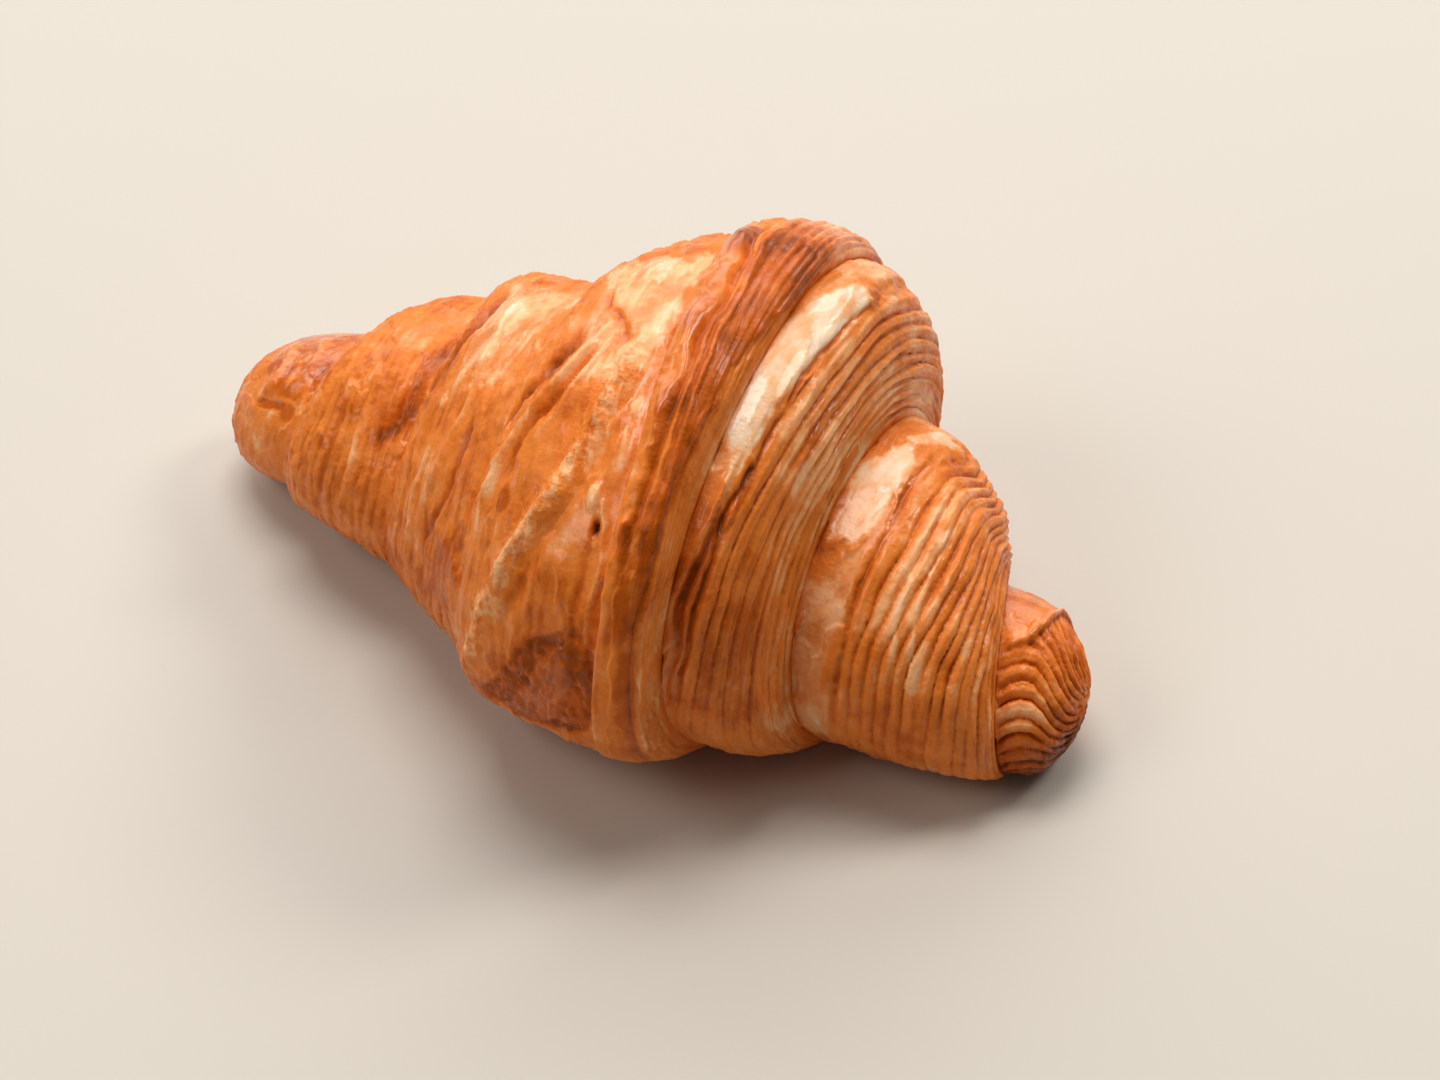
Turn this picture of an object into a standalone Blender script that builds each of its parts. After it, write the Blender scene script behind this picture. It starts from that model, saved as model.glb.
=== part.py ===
"""A plump butter croissant as one closed solid, in metres, +Z up.

A triangle of dough is rolled up from its wide side, so each half of the croissant is a
stack of nested wraps. A rim is the edge where one wrap ends and the wrap under it shows.
Every rim is a slightly turned oval ring with a flat foot. The skin between two rims is a
shoulder that leaves the inner rim level and drops to the outer one, where its edge stands
a little proud of the next wrap. +X runs along the croissant, towards its short half.
"""

import bmesh
import bpy
import numpy as np

MM = 0.001

# One line for each ring, from a tip to the crown, in millimetres and degrees:
# place along the croissant, shift aside, turn about +Z, half width, height, lift.
LONG_HALF = (
    (-88.0, 9.3, -1.4, 15.4, 27.0, -2.7),  # tip
    (-62.6, 4.8, -1.4, 16.1, 24.0, 6.2),  # rim of the innermost wrap
    (-42.0, 5.5, 9.4, 29.0, 38.3, 1.4),
    (-17.8, -6.6, 8.0, 35.2, 58.4, 0.0),
    (3.2, -1.4, 13.0, 49.6, 67.6, 0.0),  # rim of the outermost wrap
    (9.6, 1.6, 9.0, 50.6, 70.9, 0.0),  # crown
)
SHORT_HALF = (
    (69.0, 3.4, 11.5, 13.4, 23.5, 0.0),  # tip
    (55.1, 1.2, 11.5, 15.9, 23.7, 0.0),  # rim of the innermost wrap
    (29.0, 2.8, -2.6, 28.7, 43.3, 0.0),
    (16.2, 3.3, 1.8, 45.6, 66.2, 0.0),  # rim of the outermost wrap
    (9.6, 1.6, 9.0, 50.6, 70.9, 0.0),  # crown
)
# For each half: the share of a wrap that a rim winds towards the crown on its way round,
# how square each wrap's shoulder is, from the tip inwards, how square the tip is, and how
# proud the edges stand.
LONG_ROLL = {"wind": 0.55, "shoulders": (1.4, 0.9, 1.4, 1.4), "tip": 2.55, "lip": 1.3}
SHORT_ROLL = {"wind": 0.61, "shoulders": (2.2, 2.2, 2.1), "tip": 3.1, "lip": 1.3}
WAIST = 0.47  # where a ring is widest, as a share of its height
STEP = 0.025  # width of the drop from an edge to the next wrap, as a share of that wrap
COLUMNS = 64  # points round a ring
WRAP_ROWS = 9
CROWN_ROWS = 5
TIP_ROWS = 10

CRUST = (0.50, 0.19, 0.06, 1.0)

ANGLE = np.linspace(0.0, 2.0 * np.pi, COLUMNS, endpoint=False)  # from the foot, up the front


def clear_scene():
    for old in list(bpy.data.objects):
        bpy.data.objects.remove(old, do_unlink=True)


def ring_at(half, turn):
    """Ring values at fractional turns from the tip, on a smooth curve through the half's lines."""
    lines = np.array(half)
    ends = np.vstack([2 * lines[0] - lines[1], lines, 2 * lines[-1] - lines[-2]])
    first = np.clip(np.floor(turn).astype(int), 0, len(lines) - 2)
    part = (turn - first)[:, None]
    a, b, c, d = (ends[first + i] for i in range(4))
    return 0.5 * (
        2 * b
        + (c - a) * part
        + (2 * a - 5 * b + 4 * c - d) * part**2
        + (3 * b - a - 3 * c + d) * part**3
    )


def rim(half, number, wind):
    """The rim's ring values at each angle. It winds towards the crown and closes under the foot."""
    share = ANGLE / (2.0 * np.pi) - 0.5
    turn = number + wind * share * (1.0 - np.abs(2.0 * share) ** 8)
    return ring_at(half, turn)


def oval(values):
    """Points of a ring whose values may change round it, flattened where it meets the ground."""
    along, aside, turned, half_width, height, lift = values.T
    out = -half_width * np.sin(ANGLE)
    up = lift + height * (WAIST - (1.0 - WAIST) * np.cos(ANGLE))
    turned = np.radians(turned)
    x = along - out * np.sin(turned)
    y = aside + out * np.cos(turned)
    return np.stack([x, y, np.maximum(up, 0.0)], axis=1)


def wrap_rows(inner, edge, shoulder, count):
    """Rows of points over one wrap, from under the wrap above it to its own edge."""
    rows = []
    for step in np.linspace(0.0, 1.0, count):
        share = STEP + (1.0 - STEP) * (1.0 - (1.0 - step) ** 1.6)
        values = inner + (edge - inner) * share
        level = np.sqrt(1.0 - share**shoulder)
        values[:, 3:5] = (edge + (inner - edge) * level)[:, 3:5]
        rows.append(oval(values))
    return rows


def tip_rows(inner, tip, roll):
    """Rows of points over the rounded end, closing on the tip, which is added as one point."""
    rows = []
    for step in np.linspace(0.0, 1.0, TIP_ROWS, endpoint=False):
        share = STEP + (1.0 - STEP) * np.sin(0.5 * np.pi * step)
        values = inner + (tip - inner) * share
        level = np.sqrt(1.0 - share ** roll["tip"])
        middle = values[:, 5] + WAIST * values[:, 4]
        values[:, 2] = inner[:, 2]
        values[:, 3:5] *= level
        values[:, 5] = middle - WAIST * values[:, 4]
        rows.append(oval(values))
    return rows


def half_rows(half, roll):
    """Rows from the crown to the tip of one half, and the tip's own point."""
    crown = len(half) - 1
    inner = np.tile(np.array(half[-1]), (COLUMNS, 1))
    proud = 0.5 * roll["lip"] * np.array([0, 0, 0, 1, 1, 0])
    rows = []
    for number in range(crown - 1, 0, -1):
        outer = rim(half, number, roll["wind"])
        count = CROWN_ROWS if number == crown - 1 else WRAP_ROWS
        rows += wrap_rows(inner, outer + proud, roll["shoulders"][number - 1], count)
        inner = outer - proud
    rows += tip_rows(inner, np.array(half[0]), roll)
    along, aside, _, _, height, lift = half[0]
    return rows, np.array([along, aside, lift + WAIST * height])


def croissant_mesh():
    long_rows, long_tip = half_rows(LONG_HALF, LONG_ROLL)
    short_rows, short_tip = half_rows(SHORT_HALF, SHORT_ROLL)
    rows = long_rows[::-1] + short_rows
    everything = np.vstack(rows + [long_tip[None], short_tip[None]])
    low, high = everything.min(axis=0), everything.max(axis=0)
    origin = np.array([(low[0] + high[0]) / 2, (low[1] + high[1]) / 2, low[2]])

    bm = bmesh.new()
    loops = [[bm.verts.new((point - origin) * MM) for point in row] for row in rows]
    for here, there in zip(loops, loops[1:]):
        for i in range(COLUMNS):
            j = (i + 1) % COLUMNS
            bm.faces.new((here[i], here[j], there[j], there[i]))
    for loop, tip in ((loops[0], long_tip), (loops[-1], short_tip)):
        end = bm.verts.new((tip - origin) * MM)
        for i in range(COLUMNS):
            bm.faces.new((loop[i], loop[(i + 1) % COLUMNS], end))
    bmesh.ops.recalc_face_normals(bm, faces=bm.faces)
    mesh = bpy.data.meshes.new("croissant")
    bm.to_mesh(mesh)
    bm.free()
    return mesh


def crust_material():
    material = bpy.data.materials.new("crust")
    material.use_nodes = True
    shader = material.node_tree.nodes["Principled BSDF"]
    shader.inputs["Base Color"].default_value = CRUST
    shader.inputs["Roughness"].default_value = 0.45
    shader.inputs["Metallic"].default_value = 0.0
    return material


def main():
    clear_scene()
    croissant = bpy.data.objects.new("croissant", croissant_mesh())
    croissant.data.materials.append(crust_material())
    bpy.context.scene.collection.objects.link(croissant)


main()
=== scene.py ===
# %% [markdown]
# A butter croissant, dressed for a studio picture.
#
# The imported part is one solid with the true outline: a roll of nested wraps on a flat foot.
# This script replaces it with a detailed crust of the same outline. Each wrap becomes its own
# closed shell, Geometry Nodes press the layers of the dough into the shells, and one
# procedural material browns, glazes and flakes them, and paints shade into their creases and
# highlights onto their raised and glazed places.

# %% Load the frame
import math

import bpy
import numpy as np
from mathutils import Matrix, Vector


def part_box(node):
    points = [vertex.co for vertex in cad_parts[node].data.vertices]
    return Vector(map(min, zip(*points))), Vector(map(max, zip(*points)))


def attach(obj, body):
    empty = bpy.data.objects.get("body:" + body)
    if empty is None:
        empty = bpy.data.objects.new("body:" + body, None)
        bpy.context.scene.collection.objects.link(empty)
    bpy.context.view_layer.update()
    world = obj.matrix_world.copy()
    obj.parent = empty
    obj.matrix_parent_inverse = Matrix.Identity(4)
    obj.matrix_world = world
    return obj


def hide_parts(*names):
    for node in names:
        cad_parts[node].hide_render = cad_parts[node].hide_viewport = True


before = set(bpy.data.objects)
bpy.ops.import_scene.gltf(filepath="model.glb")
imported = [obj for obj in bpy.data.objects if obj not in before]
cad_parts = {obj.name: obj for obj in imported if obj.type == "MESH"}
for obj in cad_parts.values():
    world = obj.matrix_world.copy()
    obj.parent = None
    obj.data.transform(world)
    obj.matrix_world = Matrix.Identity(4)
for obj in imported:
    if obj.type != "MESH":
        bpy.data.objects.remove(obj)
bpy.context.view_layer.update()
NODE = "croissant"
box_low, box_high = (np.array(corner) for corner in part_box(NODE))
box_size = box_high - box_low
MM = 0.001
print("the croissant's box in millimetres:", np.round(box_size / MM, 1))

# %% [markdown]
# The camera stands where a seated person would look at a plate: a little to the right of the
# croissant's middle, about forty degrees up. A long lens close by keeps the near tip a little
# larger than the far one, without bending the outline.

# %% Camera
VIEW_TURN = math.radians(27.0)
VIEW_RISE = math.radians(41.2)
VIEW_DISTANCE = 0.55
LENS_MM = 85.0
LOOK_AT = Vector((0.069, 0.095, 0.155))  # shares of the box, from the middle of its foot
target = Vector([share * side for share, side in zip(LOOK_AT, box_size)])
towards_camera = Vector(
    (
        math.sin(VIEW_TURN) * math.cos(VIEW_RISE),
        -math.cos(VIEW_TURN) * math.cos(VIEW_RISE),
        math.sin(VIEW_RISE),
    )
)
camera = bpy.data.objects.new("camera", bpy.data.cameras.new("camera"))
camera.data.lens = LENS_MM
camera.data.sensor_width = 36.0
camera.data.clip_start = 0.01
camera.location = target + towards_camera * VIEW_DISTANCE
camera.rotation_euler = towards_camera.to_track_quat("Z", "Y").to_euler()
bpy.context.scene.collection.objects.link(camera)
bpy.context.scene.camera = camera
print("camera at", [round(value, 3) for value in camera.location])

# %% [markdown]
# Food looks fresh when the light comes from behind it: the glaze then mirrors the window. So a
# wide soft window stands behind the croissant on the right, a second, weaker one behind on the
# left, and the pale surroundings fill the shadows in front.

# %% Light and floor
def area_light(name, turn, rise, distance, size, power, tint):
    """A soft rectangular light aimed at the croissant. Turn is counted from behind it, clockwise."""
    lamp = bpy.data.lights.new(name, "AREA")
    lamp.shape = "RECTANGLE"
    lamp.size, lamp.size_y = size
    lamp.energy = power
    lamp.color = tint
    turn, rise = math.radians(turn) - VIEW_TURN, math.radians(rise)
    aim = Vector((math.sin(turn) * math.cos(rise), math.cos(turn) * math.cos(rise), math.sin(rise)))
    stand = bpy.data.objects.new(name, lamp)
    stand.location = aim * distance
    stand.rotation_euler = aim.to_track_quat("Z", "Y").to_euler()
    bpy.context.scene.collection.objects.link(stand)
    return stand


area_light("window", -4.0, 34.0, 1.6, (2.2, 1.0), 18.0, (1.0, 0.98, 0.95))
area_light("overhead", -10.0, 74.0, 1.5, (0.9, 0.6), 13.0, (1.0, 0.98, 0.95))
area_light("sun_side", 66.0, 46.0, 1.4, (0.4, 0.4), 6.0, (1.0, 0.94, 0.86))
area_light("left_fill", -110.0, 45.0, 1.5, (0.9, 0.7), 7.0, (1.0, 0.96, 0.90))

world = bpy.data.worlds.new("studio")
world.use_nodes = True
world.node_tree.nodes["Background"].inputs["Color"].default_value = (1.0, 0.95, 0.90, 1.0)
world.node_tree.nodes["Background"].inputs["Strength"].default_value = 0.10
bpy.context.scene.world = world
bpy.context.scene.view_settings.view_transform = "Standard"


def floor_material():
    material = bpy.data.materials.new("floor")
    material.use_nodes = True
    shader = material.node_tree.nodes["Principled BSDF"]
    shader.inputs["Base Color"].default_value = (0.58, 0.54, 0.48, 1.0)
    shader.inputs["Roughness"].default_value = 0.6
    return material


FLOOR_REACH = 3.0
floor_mesh = bpy.data.meshes.new("floor")
floor_mesh.from_pydata(
    [(-FLOOR_REACH, -FLOOR_REACH, 0), (FLOOR_REACH, -FLOOR_REACH, 0),
     (FLOOR_REACH, FLOOR_REACH, 0), (-FLOOR_REACH, FLOOR_REACH, 0)], [], [(0, 1, 2, 3)])
floor = bpy.data.objects.new("floor", floor_mesh)
floor.data.materials.append(floor_material())
bpy.context.scene.collection.objects.link(floor)

# %% [markdown]
# The shape of a croissant follows a rule. A long triangle of dough is rolled up from its wide
# side, so each half is a stack of wraps, and every rim is a slightly turned oval ring. The rings
# are written down once for each half, and a smooth curve through them gives the ring at any
# fraction of a turn. These are the same rings that the solid is made from.

# %% The rings
# Place along, shift aside, turn in degrees, half width, height and lift, in millimetres.
LONG_HALF = (
    (-88.0, 9.3, -1.4, 15.4, 27.0, -2.7),  # tip
    (-62.6, 4.8, -1.4, 16.1, 24.0, 6.2),  # rim of the innermost wrap
    (-42.0, 5.5, 9.4, 29.0, 38.3, 1.4),
    (-17.8, -6.6, 8.0, 35.2, 58.4, 0.0),
    (3.2, -1.4, 13.0, 49.6, 67.6, 0.0),  # rim of the outermost wrap
    (9.6, 1.6, 9.0, 50.6, 70.9, 0.0),  # crown
)
SHORT_HALF = (
    (69.0, 3.4, 11.5, 13.4, 23.5, 0.0),  # tip
    (55.1, 1.2, 11.5, 15.9, 23.7, 0.0),  # rim of the innermost wrap
    (29.0, 2.8, -2.6, 28.7, 43.3, 0.0),
    (16.2, 3.3, 1.8, 45.6, 66.2, 0.0),  # rim of the outermost wrap
    (9.6, 1.6, 9.0, 50.6, 70.9, 0.0),  # crown
)
LONG_ROLL = {"wind": 0.55, "shoulders": (1.4, 0.9, 1.4, 1.4), "tip": 2.55, "lip": 1.3}
SHORT_ROLL = {"wind": 0.61, "shoulders": (2.2, 2.2, 2.1), "tip": 3.1, "lip": 0.8}
WAIST = 0.47  # where a ring is widest, as a share of its height
COLUMNS = 400  # points round every shell
ANGLE = np.linspace(0.0, 2.0 * np.pi, COLUMNS, endpoint=False)  # from the foot, up the front
DEGREES = np.degrees(ANGLE)
SIZES = np.array([0, 0, 0, 1.0, 1.0, 0])  # picks a ring's half width and height


def ring_at(half, turn):
    """Ring values at fractional turns from the tip."""
    lines = np.array(half)
    ends = np.vstack([2 * lines[0] - lines[1], lines, 2 * lines[-1] - lines[-2]])
    first = np.clip(np.floor(turn).astype(int), 0, len(lines) - 2)
    part = (turn - first)[:, None]
    a, b, c, d = (ends[first + i] for i in range(4))
    return 0.5 * (
        2 * b
        + (c - a) * part
        + (2 * a - 5 * b + 4 * c - d) * part**2
        + (3 * b - a - 3 * c + d) * part**3
    )


def rim(half, number, wind):
    """The rim's ring values at each angle: it winds towards the crown on its way round."""
    share = ANGLE / (2.0 * np.pi) - 0.5
    return ring_at(half, number + wind * share * (1.0 - np.abs(2.0 * share) ** 8))


def oval(values, foot=0.0):
    """Points in millimetres of a ring whose values may change round it, flat where it rests."""
    along, aside, turned, half_width, height, lift = np.moveaxis(values, -1, 0)
    out = -half_width * np.sin(ANGLE)
    up = lift + height * (WAIST - (1.0 - WAIST) * np.cos(ANGLE))
    turned = np.radians(turned)
    x = along - out * np.sin(turned)
    y = aside + out * np.cos(turned)
    return np.stack([x, y, np.maximum(up, foot)], axis=-1)


print("long half:", len(LONG_HALF) - 2, "rims; short half:", len(SHORT_HALF) - 2, "rims")

# %% [markdown]
# A wrap is a shell. It starts under the wrap above it, comes out at the inner rim, falls over
# its shoulder to its own edge, and turns back under itself. So every shell is closed, and none
# of them has to be cut to fit its neighbour. A share of 0 is the inner rim and 1 the edge.

# %% Shells of the wraps
HIDDEN = 0.22  # how far a shell reaches under the wrap above it, as a share of itself
DIVE_MM = 5.0  # how far its hidden start dives below that wrap
SKIN_MM = 2.4  # thickness of a shell
ROW_MM = {"crown": 0.24, "short_wrap_2": 0.21, "short_wrap_1": 0.21, "short_tip": 0.21,
          "long_wrap_3": 0.27, "long_wrap_2": 0.27, "long_wrap_1": 0.27, "long_tip": 0.27}
FINE = 300  # samples along a shell before its rows are spaced evenly


def hidden_share(share):
    """How deep a place lies under the wrap above: 0 where it shows, 1 at the shell's start."""
    return np.clip(-share / HIDDEN, 0, 1)


def wrap_values(inner, edge, shoulder, share):
    """Ring values at each share of a wrap, one row for each share and one column for each angle."""
    share = share[:, None, None]
    values = inner + (edge - inner) * share
    level = np.sqrt(np.clip(1.0 - np.clip(share, 0, 1) ** shoulder, 0, 1))
    sizes = edge + (inner - edge) * level - DIVE_MM * hidden_share(share)
    return np.where(SIZES > 0, sizes, values)


def tip_values(inner, tip, roundness, share):
    """Ring values at each share of a rounded end."""
    share = share[:, None, None]
    values = inner + (tip - inner) * share
    level = np.sqrt(np.clip(1.0 - np.clip(share, 0, 1) ** roundness, 0, 1))
    middle = values[..., 5] + WAIST * values[..., 4]
    values[..., 2] = inner[:, 2]
    values[..., 3:5] *= level
    values[..., 3:5] -= DIVE_MM * hidden_share(share)
    values[..., 5] = middle - WAIST * values[..., 4]
    return values


def even_rows(points, share, row_mm):
    """Rows at even steps over the surface: new points, and each point's share and distance in mm."""
    steps = np.linalg.norm(np.diff(points, axis=0), axis=2)
    run = np.vstack([np.zeros(COLUMNS), np.cumsum(steps, axis=0)])
    count = int(run[-1].mean() / row_mm)
    want = np.linspace(0.0, 1.0, count)
    rows = np.empty((count, COLUMNS, 3))
    shares = np.empty((count, COLUMNS))
    for column in range(COLUMNS):
        at = want * run[-1, column]
        shares[:, column] = np.interp(at, run[:, column], share)
        for axis in range(3):
            rows[:, column, axis] = np.interp(at, run[:, column], points[:, column, axis])
    return rows, shares, want[:, None] * run[-1]


def wrap_chain(half, roll):
    """The wraps of one half from the crown outwards: each one's inner ring, edge and number."""
    inner = np.tile(np.array(half[-1]), (COLUMNS, 1))
    proud = 0.5 * roll["lip"] * SIZES
    chain = []
    for number in range(len(half) - 2, 0, -1):
        outer = rim(half, number, roll["wind"])
        chain.append((number, inner, outer + proud))
        inner = outer - proud
    return chain, inner


long_chain, long_inner = wrap_chain(LONG_HALF, LONG_ROLL)
short_chain, short_inner = wrap_chain(SHORT_HALF, SHORT_ROLL)


def outer_face(name):
    """Points, shares and distances over the outer face of one shell."""
    half, roll, chain, inner = (
        (LONG_HALF, LONG_ROLL, long_chain, long_inner)
        if name.startswith("long")
        else (SHORT_HALF, SHORT_ROLL, short_chain, short_inner)
    )
    if name == "crown":
        share = 1.0 - (1.0 - np.linspace(0.0, 1.0, FINE)) ** 2
        sides = []
        for side_roll, side_chain in ((LONG_ROLL, long_chain), (SHORT_ROLL, short_chain)):
            number, ring, edge = side_chain[0]
            shoulder = side_roll["shoulders"][number - 1]
            sides.append(oval(wrap_values(ring, edge, shoulder, share)))
        points = np.concatenate([sides[0][::-1], sides[1][1:]])
        return even_rows(points, np.concatenate([-share[::-1], share[1:]]), ROW_MM[name])
    if name.endswith("tip"):
        share = np.sin(0.5 * np.pi * np.linspace(0.0, 1.0, FINE))
        share = np.concatenate([np.linspace(-HIDDEN, 0, 20, endpoint=False), share])
        points = oval(tip_values(inner, np.array(half[0]), roll["tip"], share))
        return even_rows(points, share, ROW_MM[name])
    number = int(name[-1])
    _, ring, edge = next(link for link in chain if link[0] == number)
    share = 1.0 - (1.0 - np.linspace(0.0, 1.0, FINE)) ** 2
    share = np.concatenate([np.linspace(-HIDDEN, 0, 20, endpoint=False), share])
    points = oval(wrap_values(ring, edge, roll["shoulders"][number - 1], share))
    return even_rows(points, share, ROW_MM[name])


SHELLS = ("crown", "short_wrap_2", "short_wrap_1", "short_tip",
          "long_wrap_3", "long_wrap_2", "long_wrap_1", "long_tip")
faces_of = {name: outer_face(name) for name in SHELLS}
everything = np.vstack([points.reshape(-1, 3) for points, _, _ in faces_of.values()])
low, high = everything.min(axis=0), everything.max(axis=0)
middle = (low + high) / 2
shift = (box_low + box_high) / 2 / MM - middle
shift[2] = box_low[2] / MM - low[2]
print("shells:", {name: points.shape[0] for name, (points, _, _) in faces_of.items()}, "rows")
print("size in millimetres:", np.round(high - low, 1), "against", np.round(box_size / MM, 1))

# %% [markdown]
# Patches of crust differ: glazed skin, burnt edges, blisters, torn folds. They are laid out with
# two helpers. One is a soft window in the share and angle of a shell, and the other is a smooth
# noise that frays the window's border, so that no patch has a ruled outline.

# %% Soft windows and noise
def soft_step(low_end, high_end, value):
    part = np.clip((value - low_end) / (high_end - low_end), 0.0, 1.0)
    return part * part * (3.0 - 2.0 * part)


def window(value, start, end, blur):
    """One between start and end, and zero outside, with soft flanks of width blur."""
    return soft_step(start - blur, start + blur, value) * (1.0 - soft_step(end - blur, end + blur, value))


def mottle(points, size, seed):
    """Smooth noise from -1 to 1 with features of about this size, the same on every run."""
    place = points / size
    cell = np.floor(place).astype(np.int64)
    part = place - cell
    part = part * part * (3.0 - 2.0 * part)
    total = np.zeros(points.shape[:-1])
    for corner in np.ndindex(2, 2, 2):
        x, y, z = np.moveaxis(cell + np.array(corner), -1, 0)
        mixed = (x * 73856093) ^ (y * 19349663) ^ (z * 83492791) ^ (seed * 2654435761)
        mixed = ((mixed ^ (mixed >> 13)) * 1274126177) & 0xFFFFFFFF
        weight = np.prod(np.where(np.array(corner) == 1, part, 1.0 - part), axis=-1)
        total += weight * ((mixed ^ (mixed >> 16)) / 0xFFFFFFFF * 2.0 - 1.0)
    return total


# %% [markdown]
# The croissant's own layout comes next. The ridges are the cut edges of the dough's layers. On
# each wrap they begin at a line, run round it side by side, and end at the rim, so they fan out
# where the wrap is wide. Above that line the skin is whole and glazed.

# %% Where the ridges run
# For each shell: how many ridges, their depth in mm at some angles, and the shares they begin at.
RIDGES = {
    "crown": (7, ((0, 0.1), (90, 0.12), (140, 0.2), (165, 0.3), (185, 0.5), (200, 0.8), (222, 0.9), (260, 0.4)),
              ((0, -0.3), (120, -0.25), (165, -0.15), (200, -0.15), (230, -0.3), (360, -0.3))),
    "short_wrap_2": (9, ((0, 0.15), (70, 0.22), (105, 0.5), (150, 1.0), (215, 1.1), (250, 0.6), (360, 0.15)),
                     ((0, 0.0), (71, 0.02), (100, 0.27), (119, 0.38), (134, 0.42), (150, 0.47),
                      (165, 0.49), (184, 0.53), (204, 0.50), (225, 0.5), (290, 0.2), (360, 0.0))),
    "short_wrap_1": (13, ((0, 0.15), (60, 0.28), (100, 0.55), (130, 0.9), (210, 0.9), (260, 0.6), (360, 0.15)),
                     ((0, 0.1), (76, 0.18), (95, 0.22), (115, 0.24), (133, 0.28), (166, 0.31),
                      (182, 0.33), (199, 0.37), (220, 0.54), (290, 0.3), (360, 0.1))),
    "short_tip": (0, ((0, 0.0), (30, 0.2), (60, 1.0), (200, 1.1), (260, 0.6), (360, 0.0)), ((0, 0.0), (360, 0.0))),
    "long_wrap_3": (9, ((0, 0.15), (90, 0.22), (180, 0.12), (225, 0.25), (265, 0.5), (310, 0.4), (360, 0.15)),
                    ((0, 0.2), (90, 0.3), (180, 0.5), (360, 0.2))),
    "long_wrap_2": (9, ((0, 0.35), (90, 0.40), (180, 0.16), (225, 0.3), (265, 0.5), (310, 0.4), (360, 0.3)),
                    ((0, 0.1), (360, 0.1))),
    "long_wrap_1": (12, ((0, 0.35), (90, 0.40), (180, 0.20), (230, 0.4), (280, 0.5), (360, 0.3)),
                    ((0, 0.05), (360, 0.05))),
    "long_tip": (7, ((0, 0.08), (360, 0.08)), ((0, 0.1), (360, 0.1))),
}
# On the short tip the cut layers lie along it instead. They sweep down towards its end, and
# glazed skin covers them above this line. Both are (share, degrees) places.
TIP_SWEEP = ((0.0, 160.0), (0.15, 166.0), (0.3, 169.0), (0.45, 168.0), (0.6, 160.0), (0.8, 138.0), (1.0, 112.0))
TIP_SKIN = ((0.0, 152.0), (0.1, 162.0), (0.29, 168.0), (0.45, 184.0), (0.53, 200.0), (0.62, 231.0), (1.0, 300.0))
TIP_RIDGE_DEGREES = 12.5
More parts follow.
